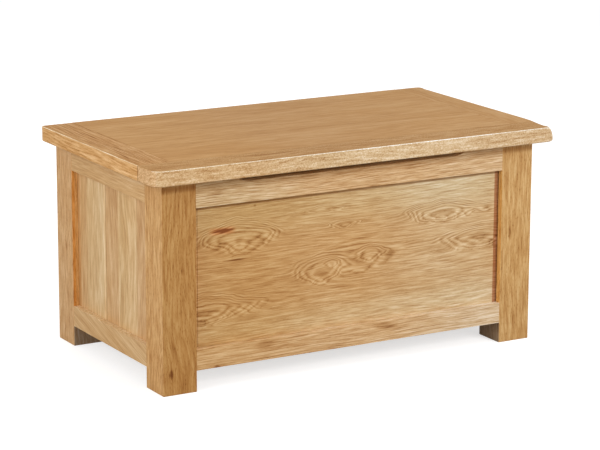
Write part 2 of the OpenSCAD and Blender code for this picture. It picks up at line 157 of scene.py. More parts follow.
# %% Count the growth rings
OVAL_POWER = 1.4
WOBBLE_WAVES = (14.0, 30.0, 30.0)
WOBBLE_REACH = 0.042
CROWDING = 3.5


def nearness(tree, place, spot):
    """0 outside a pointed oval on the board's face, rising to 1 in its middle."""
    along, across, half_long, half_wide = spot
    scale = (1 / half_long, 1 / half_wide, 0.0)
    shift = (-along / half_long, -across / half_wide, 0.0)
    steps = vector_calc(tree, "ABSOLUTE",
                        vector_calc(tree, "MULTIPLY_ADD", place, scale, shift))
    split = add_node(tree, "ShaderNodeSeparateXYZ", {}, {"Vector": steps}).outputs
    distance = calc(tree, "ADD", calc(tree, "POWER", split["X"], OVAL_POWER),
                    calc(tree, "POWER", split["Y"], OVAL_POWER))
    return fade(tree, distance, 1.0, 0.0)


def wobble(tree, place, seed):
    """Moves each point of the board a little, so that no oval stays regular."""
    moved = vector_calc(tree, "MULTIPLY_ADD", place, WOBBLE_WAVES, (seed,) * 3)
    noise = add_node(tree, "ShaderNodeTexNoise", {}, {"Vector": moved, "Scale": 1.0})
    centred = vector_calc(tree, "SUBTRACT", noise.outputs["Color"], (0.5, 0.5, 0.5))
    reach = (WOBBLE_REACH, WOBBLE_REACH * 0.5, 0.0)
    return vector_calc(tree, "MULTIPLY_ADD", centred, reach, place)


def count_rings(tree, place, seed, ring, heart, wander, swells):
    """Rings out from the heart, whole where a ring ends, and how near a swell is, if any."""
    heart_across, heart_depth = heart
    sway = streaks(tree, place, 3.0, 2.0, seed, 1.0)
    dive = streaks(tree, place, 2.2, 2.0, seed + 3.1, 1.0)
    offset = add_node(tree, "ShaderNodeCombineXYZ", {}, {
        "Y": calc(tree, "MULTIPLY_ADD", sway, wander, -heart_across - wander / 2),
        "Z": calc(tree, "MULTIPLY_ADD", dive, wander, heart_depth - wander / 2),
    }).outputs["Vector"]
    from_heart = vector_calc(tree, "MULTIPLY", vector_calc(tree, "ADD", place, offset),
                             (0.0, 1 / ring, 1 / ring))
    count = vector_calc(tree, "LENGTH", from_heart)
    crowd = streaks(tree, place, 1.2, 16.0, seed + 4.4, 0.0)
    drift = streaks(tree, place, 6.0, 30.0, seed + 5.7, 2.0)
    crowd = calc(tree, "MULTIPLY_ADD", calc(tree, "SUBTRACT", crowd, 0.5), CROWDING,
                 calc(tree, "SUBTRACT", drift, 0.5))
    swell = None
    if swells:
        moved = wobble(tree, place, seed + 6.1)
        for spot, rings in swells:
            near = nearness(tree, moved, spot)
            count = calc(tree, "MULTIPLY_ADD", near, rings, count)
            swell = calc(tree, "MAXIMUM", near, 0.0 if swell is None else swell)
        crowd = calc(tree, "MULTIPLY", crowd, fade(tree, swell, 0.1, 0.6, 1.0, 0.25))
    return calc(tree, "ADD", crowd, count), swell


# %% [markdown]
# Each ring of oak starts with a thin band of wide open pores in spring, which looks dark, then
# a pale line of clean wood, and settles to an even tan by autumn. A ramp gives that shape to
# every ring, and a softer one takes over round an eye, where the face cuts a ring at a slant.
# No two years are alike, so a hashed number for each ring sets how strongly it shows, and
# patches let it fade out and come back along its length.

# %% How each growth ring shows
SPRING_TO_AUTUMN = [
    (0.0, 0.0), (0.05, 0.25), (0.13, 1.0), (0.30, 0.76), (0.70, 0.66), (0.92, 0.50), (1.0, 0.0)]
ROUND_AN_EYE = [(0.0, 0.12), (0.14, 0.36), (0.36, 0.95), (0.58, 0.95), (0.82, 0.46), (1.0, 0.12)]
MEAN_RING = 0.66
RING_JAG = 0.35
LUCK_POWER = 1.7
FAINTEST_RING = 0.15


def grey_ramp(tree, factor, stops):
    """A ramp of plain values, given as (position, value) pairs."""
    return painted(tree, factor, [(position, (value,) * 3) for position, value in stops])


def ring_shade(tree, flow, count, swell, seed):
    """How pale the wood is inside its ring, and how much that ring adds to the shade."""
    jag = streaks(tree, flow, 50.0, 120.0, seed + 8.3, 2.0)
    jagged = calc(tree, "MULTIPLY_ADD", jag, RING_JAG, count)
    share = calc(tree, "FRACT", jagged)
    profile = grey_ramp(tree, share, SPRING_TO_AUTUMN)
    year = calc(tree, "ADD", calc(tree, "FLOOR", jagged), seed)
    luck = add_node(tree, "ShaderNodeTexWhiteNoise", {"noise_dimensions": "1D"}, {"W": year})
    luck = calc(tree, "POWER", luck.outputs["Value"], LUCK_POWER)
    patch = fade(tree, streaks(tree, flow, 4.0, 14.0, seed + 9.2, 1.0), 0.40, 0.60, 0.12, 1.0)
    if swell is not None:
        soft = grey_ramp(tree, share, ROUND_AN_EYE)
        near = fade(tree, swell, 0.02, 0.15)
        profile = calc(tree, "MULTIPLY_ADD", calc(tree, "SUBTRACT", soft, profile), near, profile)
        patch = calc(tree, "MAXIMUM", calc(tree, "MULTIPLY", patch, 0.5),
                     fade(tree, swell, 0.0, 0.2))
        luck = calc(tree, "MAXIMUM", luck, fade(tree, swell, 0.0, 0.3, 0.0, 0.56))
    strength = calc(tree, "MULTIPLY_ADD", luck, 1.0 - FAINTEST_RING, FAINTEST_RING)
    strength = calc(tree, "MULTIPLY", strength, patch)
    return profile, calc(tree, "MULTIPLY", calc(tree, "SUBTRACT", profile, MEAN_RING), strength)


# %% [markdown]
# The fibres run mostly straight, but they lean with the rings, so the distance across the board
# that their noise takes is two parts of the true one and one part of the ring count. They bend
# a little round every eye and knot that way. On top of the rings come long fibres, fine
# hairlines, broad bands, on some boards short specks, and the open pores of the spring wood.
# The sum is a shade from 0, the brown of a knot, to 1, the palest oak.
#
# How much of each a board shows is its contrast: six numbers, for the rings, the fibres, the
# hairlines, the bands, the pores and the specks.

# %% The shade of the wood
MEAN_SHADE = 0.55
RING_SHARE = 0.35
FIBRES = (9.0, 300.0)
HAIRLINES = (24.0, 560.0)
BANDS = (3.0, 60.0)
SPECKS = (330.0, 430.0)
PORES = (130.0, 1500.0)
LIVELY = (0.60, 0.66, 1.35, 0.32, 0.16, 0.0)
PANEL = (0.56, 0.30, 1.10, 0.14, 0.14, 0.0)
FINE = (0.33, 0.28, 1.10, 0.18, 0.24, 0.0)
WILD = (0.70, 0.80, 1.00, 0.40, 0.20, 0.0)
CALM = (0.20, 0.46, 0.70, 0.36, 0.08, 0.0)
QUIET = (0.10, 0.28, 0.40, 0.34, 0.06, 0.0)
SPECKLED = (0.12, 0.46, 0.80, 0.28, 0.14, 0.95)


def add_noise(tree, shade, noise, contrast):
    """Adds noise around 0.5 to the shade, with a given contrast."""
    return calc(tree, "MULTIPLY_ADD", calc(tree, "SUBTRACT", noise, 0.5), contrast, shade)


def wood_shade(tree, place, count, swell, seed, ring, contrast, marks):
    """Rings, fibres, pores and knots added up, and how open the surface is."""
    of_rings, of_fibres, of_hairlines, of_bands, of_pores, of_specks = contrast
    split = add_node(tree, "ShaderNodeSeparateXYZ", {}, {"Vector": place}).outputs
    across = calc(tree, "MULTIPLY", split["Y"], 1.0 - RING_SHARE)
    across = calc(tree, "MULTIPLY_ADD", count, ring * RING_SHARE, across)
    flow = add_node(tree, "ShaderNodeCombineXYZ", {}, {
        "X": split["X"], "Y": across, "Z": calc(tree, "MULTIPLY", split["Z"], 0.4)})
    flow = flow.outputs["Vector"]
    profile, rings = ring_shade(tree, flow, count, swell, seed)
    shade = calc(tree, "MULTIPLY_ADD", rings, of_rings, MEAN_SHADE)
    shade = add_noise(tree, shade, streaks(tree, flow, *FIBRES, seed + 1.3), of_fibres)
    shade = add_noise(tree, shade, streaks(tree, flow, *HAIRLINES, seed + 2.1), of_hairlines)
    shade = add_noise(tree, shade, streaks(tree, flow, *BANDS, seed + 2.9), of_bands)
    if of_specks:
        shade = add_noise(tree, shade, streaks(tree, place, *SPECKS, seed + 3.7), of_specks)
    pore = streaks(tree, flow, *PORES, seed + 7.7, 1.0)
    spring = fade(tree, profile, 0.95, 0.45, 0.35, 1.0)
    open_pores = calc(tree, "MULTIPLY", fade(tree, pore, 0.54, 0.68), spring)
    shade = calc(tree, "MULTIPLY_ADD", open_pores, -of_pores, shade)
    for spot, depth in marks:
        shade = calc(tree, "MULTIPLY_ADD", nearness(tree, place, spot), -depth, shade)
    return shade, open_pores


# %% [markdown]
# ## Where a colour changes
# Some boards change colour from place to place: a shaded reveal, a glue line at a joint, a
# paler end. Each such tint is a colour followed by where it holds. A where is either a way
# the surface faces, such as "-y", or one of the box's axes, with the two values between which
# the tint comes in. The grain, on the other hand, follows the board, so a second helper turns
# the box's axes into the board's own: along, across and through it.

# %% Find a place on a board
def board_space(tree, coordinates, grain, middle):
    """Turns the box's X, Y, Z into along, across and through the board, from its middle."""
    centred = vector_calc(tree, "SUBTRACT", coordinates, tuple(middle))
    split = add_node(tree, "ShaderNodeSeparateXYZ", {}, {"Vector": centred}).outputs
    ordered = {end: split[axis.upper()] for end, axis in zip("XYZ", grain)}
    return add_node(tree, "ShaderNodeCombineXYZ", {}, ordered).outputs["Vector"]


def part_of(tree, vector, axis):
    """A vector's part along one of the box's axes, such as x or -y."""
    split = add_node(tree, "ShaderNodeSeparateXYZ", {}, {"Vector": vector}).outputs
    return calc(tree, "MULTIPLY", split[axis[-1].upper()], -1.0 if axis[0] == "-" else 1.0)


def holds(tree, coordinates, conditions):
    """1 where every condition holds, fading to 0 where one of them doesn't."""
    share = None
    for axis, start, end in conditions:
        source = "Normal" if axis[0] in "+-" else "Object"
        here = fade(tree, part_of(tree, coordinates[source], axis), start, end)
        share = here if share is None else calc(tree, "MULTIPLY", share, here)
    return share


def on_face(axis):
    """The condition that a surface faces along an axis."""
    return (axis, 0.6, 0.8)


def middle_of(node):
    """Middle of a board, in the box's own space."""
    low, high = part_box(node)
    return (low + high) / 2


# %% [markdown]
# ## The oak finish
# The tone is the colour of a board at its average. Darker wood is redder as well as darker,
# and paler wood is less yellow, so each shade of a board multiplies the three channels of its
# tone differently. Broad clouds swing the tone between amber and straw. A thin matt lacquer
# lies on top: a high roughness, a little smoother on the dense wood, with the open pores
# pressed in by a fraction of a millimetre. Sawn ends drink more lacquer and turn darker.
#
# Each board says how wide its years are, which is its ring, where the heart of the tree lay
# across from its middle and beneath it, and how far that heart wanders.

# %% Colours of oak
SHADES = [
    (0.00, (0.38, 0.24, 0.15)),
    (0.28, (0.74, 0.63, 0.51)),
    (MEAN_SHADE, (1.0, 1.0, 1.0)),
    (0.85, (1.25, 1.44, 1.80)),
    (1.00, (1.30, 1.55, 2.00)),
]
STRAW = (1.05, 1.10, 1.20)
AMBER = (0.96, 0.90, 0.80)
CLOUDS = (3.5, 9.0)
END_GRAIN = (0.90, 0.86, 0.80)
ROUGHNESS = 0.66
PORE_DEPTH = 0.3 * MM


def even_fade(tree, value, start, end):
    """Goes evenly from 0 to 1 as value goes from start to end."""
    inputs = {"Value": value, "From Min": start, "From Max": end}
    return add_node(tree, "ShaderNodeMapRange", {}, inputs).outputs["Result"]


def slanted(tree, place, lean):
    """Tips the grain, so that it climbs by lean for each metre of the board."""
    along = add_node(tree, "ShaderNodeSeparateXYZ", {}, {"Vector": place}).outputs["X"]
    climb = calc(tree, "MULTIPLY", along, -lean)
    shift = add_node(tree, "ShaderNodeCombineXYZ", {}, {"Y": climb}).outputs["Vector"]
    return vector_calc(tree, "ADD", place, shift)


# %% [markdown]
# One function now does a whole board: it finds the place on the board, counts the rings, turns
# the shade into a colour, lays the clouds, the staves and the tints over it, and adds the
# lacquer. Each board of the box then needs only its own few values.

# %% Make one board's finish
def oak(name, grain, tone, seed, middle, ring=0.006, heart=(0.12, 0.10), wander=0.05,
        contrast=LIVELY, swells=(), marks=(), tints=(), staves=None, lean=0.0, clouds=0.5,
        sheen=0.15):
    """Oak for one board. grain names the box's axes along, across and through it."""
    material = bpy.data.materials.new(name)
    material.use_nodes = True
    tree = material.node_tree
    shader = tree.nodes["Principled BSDF"]
    coordinates = tree.nodes.new("ShaderNodeTexCoord").outputs
    place = board_space(tree, coordinates["Object"], grain, middle)
    if lean:
        place = slanted(tree, place, lean)
    count, swell = count_rings(tree, place, seed, ring, heart, wander, swells)
    shade, open_pores = wood_shade(tree, place, count, swell, seed, ring, contrast, marks)
    stops = [(level, tuple(a * b for a, b in zip(tone, factors))) for level, factors in SHADES]
    colour = painted(tree, shade, stops)
    cloud = even_fade(tree, streaks(tree, place, *CLOUDS, seed + 6.6, 1.0), 0.3, 0.7)
    colour = tinted(tree, colour, clouds, painted(tree, cloud, [(0.0, AMBER), (1.0, STRAW)]))
    if staves:
        across = add_node(tree, "ShaderNodeSeparateXYZ", {}, {"Vector": place}).outputs["Y"]
        spread = even_fade(tree, across, staves[0], staves[1])
        colour = tinted(tree, colour, 1.0, painted(tree, spread, staves[2], "CONSTANT"))
    for end in ("+", "-"):
        there = holds(tree, coordinates, [on_face(end + grain[0])])
        colour = tinted(tree, colour, there, END_GRAIN)
    for tint, *conditions in tints:
        colour = tinted(tree, colour, holds(tree, coordinates, conditions), tint)
    tree.links.new(colour, shader.inputs["Base Color"])
    rough = calc(tree, "MULTIPLY_ADD", shade, -0.10, ROUGHNESS)
    tree.links.new(rough, shader.inputs["Roughness"])
    shader.inputs["Specular IOR Level"].default_value = sheen
    height = calc(tree, "MULTIPLY_ADD", shade, 0.3, calc(tree, "SUBTRACT", 1.0, open_pores))
    bump = add_node(tree, "ShaderNodeBump", {}, {
        "Strength": 0.3, "Distance": PORE_DEPTH, "Height": height})
    tree.links.new(bump.outputs["Normal"], shader.inputs["Normal"])
    return material


def dress(node, material):
    """Gives a board or fitting its finish."""
    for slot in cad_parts[node].material_slots:
        slot.material = material


# %% [markdown]
# ## Eased edges
# No real board has a razor edge: a cabinetmaker takes every arris off with a few strokes of
# fine paper, and that thin rounded line is what catches the light. The boards keep their
# measured shape, so the easing is a modifier and not a change to the mesh: Weld joins the
# points that the file keeps apart at sharp corners, and Bevel rounds what is left.

# %% Ease the edges of a measured board
SAME_POINT = 0.02 * MM
SHARP_EDGE = math.radians(35)


def ease_edges(node, width, steps=2):
    """Rounds the edges of a measured board by width."""
    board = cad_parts[node]
    weld = board.modifiers.new("Weld", "WELD")
    weld.merge_threshold = SAME_POINT
    bevel = board.modifiers.new("Ease", "BEVEL")
    bevel.width = width
    bevel.segments = steps
    bevel.limit_method = "ANGLE"
    bevel.angle_limit = SHARP_EDGE
    bevel.use_clamp_overlap = False
    bevel.harden_normals = True


# %% [markdown]
# ## Legs
# Each leg is a square post of solid oak with strong, straight grain running up it. The outer
# faces were chosen for looks. The narrow strips that show beside the panels are painted
# brighter and more orange, with the light that bounces round the corner, and the top of each
# leg carries a painted shadow of the lid. Below the rails the inner faces turn a greyer
# brown.

# %% Colours and knots of the legs
LEG_FRONT_TONE = (0.408, 0.203, 0.0575)
LEG_SIDE_TINT = (1.42, 1.58, 2.05)
BACK_LEG_TINT = (1.02, 1.08, 1.30)
RIGHT_LEG_TINT = (1.22, 1.40, 1.80)
# painted light: the strips beside the panels are painted brighter and more orange, as bounced
# light makes them look
REVEAL_PAINTED_LIGHT = (1.88, 1.69, 1.45)
BACK_REVEAL_PAINTED_LIGHT = (1.00, 1.24, 1.76)
RIGHT_REVEAL_PAINTED_LIGHT = (1.05, 1.30, 1.56)
# the inner faces below the rails turn a greyer brown
GREYER_BELOW_RAIL = (0.87, 1.14, 2.31)
LID_SHADE = (0.70, 0.59, 0.46)
LEG_RING = 4.5 * MM
LEG_KNOTS = {
    "leg_front_left": [((-0.174, -0.020, 0.014, 0.007), 0.5), ((0.035, 0.006, 0.012, 0.004), 0.3)],
    "leg_front_right": [((0.020, -0.016, 0.022, 0.006), 0.3)],
    "leg_back_left": [((-0.006, -0.006, 0.016, 0.006), 0.30)],
    "leg_back_right": [],
}
REVEAL_SPLIT = 432 * MM
RAIL_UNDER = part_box("rail_front_bottom")[0].z
LEG_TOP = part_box("leg_front_left")[1].z
JUST_OUTSIDE = (0.985, 0.995)
print("knots in the legs:", sum(len(knots) for knots in LEG_KNOTS.values()))

# %% [markdown]
# The tints are worked out for each leg from the faces it turns outwards, inwards and towards
# the other leg of its side. A strip counts as outside the panel when it lies farther out than
# the panel's own face. On the back left leg the strip's painted light is paler at its outer edge.

# %% Legs
def leg_tints(node, outer, inner):
    """The tints of a leg, which shows its outer face and turns its inner one to the panel."""
    behind = "+y" if "front" in node else "-y"
    panel_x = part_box("panel_left")[0].x if "left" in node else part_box("panel_right")[1].x
    panel_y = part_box("panel_front")[0].y if "front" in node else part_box("panel_back")[1].y
    outside_x = ("x", *(panel_x * share for share in JUST_OUTSIDE))
    outside_y = ("y", *(panel_y * share for share in JUST_OUTSIDE))
    above_rail = ("z", RAIL_UNDER - MM, RAIL_UNDER)
    below_rail = ("z", RAIL_UNDER, RAIL_UNDER - MM)
    tints = [(LEG_SIDE_TINT, on_face(outer))]
    for hidden, outside in ((inner, outside_y), (behind, outside_x)):
        # painted bounce light on the strip beside the panel
        tints.append((REVEAL_PAINTED_LIGHT, on_face(hidden), above_rail, outside))
        # greyer brown on the inner faces below the rails
        tints.append((GREYER_BELOW_RAIL, on_face(hidden), below_rail))
    tints.append((LID_SHADE, on_face("-y"), ("z", LEG_TOP - 27 * MM, LEG_TOP - 17 * MM),
                  ("z", LEG_TOP - 7 * MM, LEG_TOP - 15 * MM)))
    if node == "leg_front_right":
        tints.append((RIGHT_LEG_TINT, on_face("-y")))
        # painted bounce light on the right leg's strip
        tints.append((RIGHT_REVEAL_PAINTED_LIGHT, on_face("-x"), above_rail, outside_y))
    if node == "leg_back_left":
        tints.append((BACK_LEG_TINT, on_face("-x")))
        # paler painted light on the back left leg's strip
        tints.append((BACK_REVEAL_PAINTED_LIGHT, on_face("-y"), above_rail, outside_x,
                      ("x", -REVEAL_SPLIT - MM, -REVEAL_SPLIT)))
    return tints


for number, node in enumerate(LEG_KNOTS):
    outer, inner = ("-x", "+x") if "left" in node else ("+x", "-x")
    grain = "zyx" if node == "leg_back_left" else "zxy"
    wood = oak(node + "_oak", grain, LEG_FRONT_TONE, 11.0 + 7 * number, middle_of(node),
               ring=LEG_RING, heart=(0.09, 0.16), wander=0.11, contrast=FINE,
               marks=LEG_KNOTS[node], tints=leg_tints(node, outer, inner))
    dress(node, wood)
    ease_edges(node, 1.0 * MM)
    print(node, "dressed")

# %% [markdown]
# ## Rails
# The rails run between the legs, above and below each panel. They are sawn from straight
# lengths, so the rings show as fine lines with a gentle wave. The lower front rail has darker
# brown patches near its left end and its middle, where a branch grew close by. The top of the
# upper front rail is the finger pull, painted lighter against the shade of the lid. In the lower
# left rail the grain runs out at a slant, as it does when a length is sawn off true. A start
# tint takes hold towards the left end of a front rail and an end tint towards the right.

# %% Colours and patches of the rails
RAIL_FRONT_TONE = (0.565, 0.352, 0.168)
RAIL_SIDE_TONE = (0.60, 0.37, 0.165)
LOWER_PATCHES = [
    ((-0.206, 0.012, 0.040, 0.012), 0.28),
    ((0.078, 0.010, 0.040, 0.012), 0.26),
    ((0.115, 0.006, 0.070, 0.011), 0.14),
    ((-0.319, -0.021, 0.012, 0.006), 0.45),
]
UPPER_PATCHES = [
    ((-0.315, 0.004, 0.030, 0.016), 0.12),
    ((-0.303, 0.021, 0.006, 0.003), 0.35),
    ((-0.262, 0.017, 0.008, 0.003), 0.30),
]
RAIL_END_TINT = {"top": (1.03, 1.10, 1.22), "bottom": (1.05, 1.20, 1.48)}
RAIL_START_TINT = {"top": (0.98, 1.06, 1.12), "bottom": (0.92, 0.85, 0.72)}
RAIL_SHADE = (0.80, 0.74, 0.66)
# painted light on the finger pull, which the lid shades
PULL_PAINTED_LIGHT = (1.35, 1.35, 1.25)
# painted light: the top of each lower rail is painted paler, as light from above makes it look
LEDGE_PAINTED_LIGHT = (1.28, 1.46, 1.75)
SLANT = 0.31
print("patches in the front rails:", len(UPPER_PATCHES) + len(LOWER_PATCHES))

# %% [markdown]
# All eight rails are dressed in one loop, each with a seed of its own, so that no two show the
# same figure. The long ones are lively and the short ones calm. Only the front pair, which is
# seen most, has patches and changes colour along its length.

# %% Rails
for number, side in enumerate(["front", "back", "left", "right"]):
    long_rail = side in ("front", "back")
    for place, seed in (("top", 41.0), ("bottom", 67.0)):
        node = f"rail_{side}_{place}"
        patches = []
        tints = []
        if side == "front":
            patches = UPPER_PATCHES if place == "top" else LOWER_PATCHES
            tints.append((RAIL_END_TINT[place], ("x", 0.05, 0.30)))
            tints.append((RAIL_START_TINT[place], ("x", -0.05, -0.30)))
        if node == "rail_front_top":
            # painted light on the top of the finger pull
            tints.append((PULL_PAINTED_LIGHT, on_face("+z")))
            tints.append((RAIL_SHADE, on_face("-y"), ("z", LEG_TOP - 32 * MM, LEG_TOP - 22 * MM)))
        if place == "bottom":
            # painted light on the top of the lower rail
            tints.append((LEDGE_PAINTED_LIGHT, on_face("+z")))
        wood = oak(node + "_oak", "xzy" if long_rail else "yzx",
                   RAIL_FRONT_TONE if long_rail else RAIL_SIDE_TONE, seed + 5 * number,
                   middle_of(node), ring=0.005, heart=(-0.10, 0.12), wander=0.04,
                   marks=patches, tints=tints, contrast=LIVELY if long_rail else CALM,
                   lean=SLANT if node == "rail_left_bottom" else 0.0)
        dress(node, wood)
        ease_edges(node, 0.7 * MM)
print("rails dressed")

# %% [markdown]
# ## Front and back panels
# The front panel is the showpiece: one wide crown-cut board whose grain runs from end to end,
# with a pair of joined eyes just left of the middle, pointed arches that open to the right,
# and a small dark knot near the left end. Swells in the ring count make each of them. The
# spots are given in millimetres from the middle of the panel: along, up, half length and
# half height, then how many rings the swell takes away. A knot has how much it darkens the
# wood instead. A thinned strip of darker wood shows at the right-hand end, and a thin shadow
# is painted on the panel just under the top rail.

# %% Eyes and knots of the front panel
EYES = [
    ((-66, -17, 88, 44), -3.3),
    ((-45, -10, 30, 16), -1.2),
    ((48, 2, 54, 23), -2.3),
    ((20, -2, 130, 46), -0.9),
    ((-262, 76, 122, 50), -4.6),
    ((-15, 72, 54, 14), -1.9),
    ((318, 8, 132, 38), -4.4),
    ((222, 72, 126, 33), -4.4),
    ((340, 70, 66, 16), -2.1),
    ((-340, -70, 170, 44), -5.2),
    ((-60, 108, 64, 9), -1.2),
]
PANEL_KNOTS = [
    ((-297, 88, 36, 6.5), 0.75),
    ((-290, 90, 26, 3.0), 0.40),
    ((-268, 25, 38, 3.0), 0.52),
    ((-224, 132, 5, 3.5), 0.34),
]


def in_metres(spot):
    """A spot written in millimetres, in metres."""
    return tuple(value * MM for value in spot)


panel_swells = [(in_metres(spot), rings) for spot, rings in EYES]
panel_marks = [(in_metres(spot), depth) for spot, depth in PANEL_KNOTS]
print("eyes and knots in the front panel:", len(panel_swells), len(panel_marks))

# %% [markdown]
# The panel isn't one even colour either. It is paler towards the right and along its upper and
# lower edges, warmer towards the left, and reddish round the dark knot. The back panel stands
# against a wall, so it is a plain board without eyes.

# %% Front and back panels
PANEL_TONE = (0.520, 0.306, 0.128)
PANEL_RIGHT_TINT = (1.04, 1.16, 1.38)
PANEL_LEFT_TINT = (0.91, 0.83, 0.68)
PANEL_UPPER_TINT = (1.02, 1.15, 1.28)
PANEL_LOWER_TINT = (1.06, 1.18, 1.34)
STRIP_TINT = (0.66, 0.42, 0.33)
# painted shadow of the top rail on the panel
UNDER_RAIL_PAINTED_SHADOW = (0.62, 0.50, 0.40)
KNOT_TINT = (1.10, 0.82, 0.74)
STRIP_START = 354 * MM
PANEL_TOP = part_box("rail_front_top")[0].z
panel_tints = [
    (PANEL_RIGHT_TINT, ("x", 0.0, 0.26)),
    (PANEL_LEFT_TINT, ("x", 0.0, -0.25)),
    (PANEL_UPPER_TINT, ("z", 0.27, 0.36)),
    (PANEL_LOWER_TINT, ("z", 0.17, 0.10)),
    # painted shadow: a dark band on the panel just under the top rail
    (UNDER_RAIL_PAINTED_SHADOW, on_face("-y"), ("z", PANEL_TOP - 9 * MM, PANEL_TOP - 7 * MM)),
    (KNOT_TINT, ("x", -0.335, -0.310), ("x", -0.262, -0.285), ("z", 0.311, 0.317),
     ("z", 0.330, 0.324)),
    (STRIP_TINT, ("x", STRIP_START - 0.5 * MM, STRIP_START + 0.5 * MM)),
]
front_panel = oak("front_panel_oak", "xzy", PANEL_TONE, 90.0, middle_of("panel_front"),
                  ring=0.011, heart=(-0.16, 0.24), wander=0.02, contrast=PANEL,
                  swells=panel_swells, marks=panel_marks, tints=panel_tints)
dress("panel_front", front_panel)
back_panel = oak("back_panel_oak", "xzy", PANEL_TONE, 95.0, middle_of("panel_back"),
                 ring=0.010, heart=(0.02, 0.055), wander=0.07)
dress("panel_back", back_panel)
print("front and back panels dressed")

# %% [markdown]
# ## Side panels
# The side panels are glued up from narrow upright staves, each with its own shade: two pale
# ones stand out on the left-hand side, each with a bright edge and a thin glue line. A ramp
# with hard steps across the panel gives each stave its tone, and the fibres run upwards
# through all of them. Each step is given by where it starts, from 0 at the front edge of the
# panel to 1 at the back, and by its tint.

# %% Side panels
SIDE_TONE = (0.590, 0.372, 0.175)
GLUE_LINE = (0.80, 0.72, 0.62)
STAVES = [
    (0.000, (0.98, 0.93, 0.88)),
    (0.090, (1.02, 0.98, 0.96)),
    (0.200, GLUE_LINE),
    (0.205, (1.10, 1.14, 1.16)),
    (0.320, (1.06, 1.10, 1.10)),
    (0.430, (1.14, 1.20, 1.26)),
    (0.444, (0.96, 0.90, 0.84)),
    (0.530, (1.00, 0.95, 0.90)),
    (0.600, GLUE_LINE),
    (0.608, (1.20, 1.28, 1.36)),
    (0.635, (1.08, 1.14, 1.18)),
    (0.760, (1.10, 1.16, 1.20)),
    (0.855, (1.06, 1.06, 1.06)),
    (0.950, (0.97, 0.86, 0.70)),
    (0.962, (0.86, 0.74, 0.60)),
    (0.970, (1.00, 0.90, 0.72)),
]
for number, node in enumerate(["panel_left", "panel_right"]):
    low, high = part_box(node)
    reach = (high.y - low.y) / 2
    wood = oak(node + "_oak", "zyx", SIDE_TONE, 120.0 + 9 * number, middle_of(node),
               ring=0.009, heart=(0.35, 0.20), wander=0.09, contrast=CALM,
               staves=(-reach, reach, STAVES))
    dress(node, wood)
print("side panels dressed")

# %% [markdown]
# ## Base
# The floor of the box is four plain boards on square bearers, screwed inside the bottom
# rails. Nobody polishes them, so they get the same oak without knots, eyes or tints.

# %% Base boards and bearers
BASE_TONE = (0.55, 0.34, 0.155)
dress("base_boards", oak("base_oak", "xyz", BASE_TONE, 140.0, middle_of("base_boards"),
                         ring=0.008, heart=(0.06, 0.09), wander=0.08))
dress("base_bearers", oak("bearer_oak", "xyz", BASE_TONE, 145.0, middle_of("base_bearers"),
                          contrast=CALM))
for node in ("base_boards", "base_bearers"):
    ease_edges(node, 0.8 * MM)
print("base dressed")

# %% [markdown]
# ## The lid's rim
# The lid is glued up first and shaped afterwards: its corners are rounded, the top edge gets
# a crisp arris, and the right-hand end is rolled over, most of all at the front corner. So
# the lid is made here in the same order. One slab is built from rings of points that follow
# the rim, and its three outer boards are then sawn out of it along the joints.
#
# Every point of the rim holds the way inwards and how far the top is rolled over there, both
# across the lid and down its edge. The first of these is never more than the radius of the
# corner, so that the points don't cross over.

# %% Corners and rolls of the lid
front_low, front_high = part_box("lid_front_board")
end_low, end_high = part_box("lid_end_right")
LID_LEFT, LID_RIGHT = front_low.x, front_high.x
LID_FRONT, LID_BACK = front_low.y, end_high.y
LID_UNDER, LID_TOP = front_low.z, front_high.z
JOINT_Y = front_high.y
JOINT_X = end_low.x
ARRIS = 1.8 * MM
ROLL = 14 * MM
CORNER_ROLL = 27 * MM
CORNER_REACH = 0.16
CORNER_STEPS = 10
SIDE_STEPS = 16


def smooth(share):
    """Goes from 0 to 1 with a soft start and a soft end."""
    share = max(0.0, min(1.0, share))
    return share * share * (3 - 2 * share)


def corner(x_in, y_in, radius, first_turn, roll):
    """Rim points of one rounded corner; roll gives the roll at each share of the turn."""
    made = []
    for step in range(CORNER_STEPS + 1):
        share = step / CORNER_STEPS
        turn = math.radians(first_turn + 90 * share)
        outward = Vector((math.cos(turn), math.sin(turn), 0.0))
        middle = Vector((x_in, y_in, 0.0))
        made.append((middle + outward * radius, -outward, min(roll(share), radius), roll(share)))
    return made


def right_side(length_share):
    """Roll along the right-hand end, from the front corner to the back one."""
    return ROLL + (CORNER_ROLL - ROLL) * (1 - smooth(length_share / CORNER_REACH))


print("the lid is", round((LID_RIGHT - LID_LEFT) / MM), "mm wide and",
      round((LID_TOP - LID_UNDER) / MM), "mm thick")

# %% [markdown]
# The rim is walked once round, from the front left corner. Each of the four corners has its own
# radius. On the left the arris stays crisp, at the front right corner it opens into the roll,
# the roll eases off along the right-hand end, and it closes again at the back.

# %% Walk round the rim of the lid
FRONT_LEFT_R = 24 * MM
FRONT_RIGHT_R = 27 * MM
BACK_RIGHT_R = 22 * MM
BACK_LEFT_R = 8 * MM


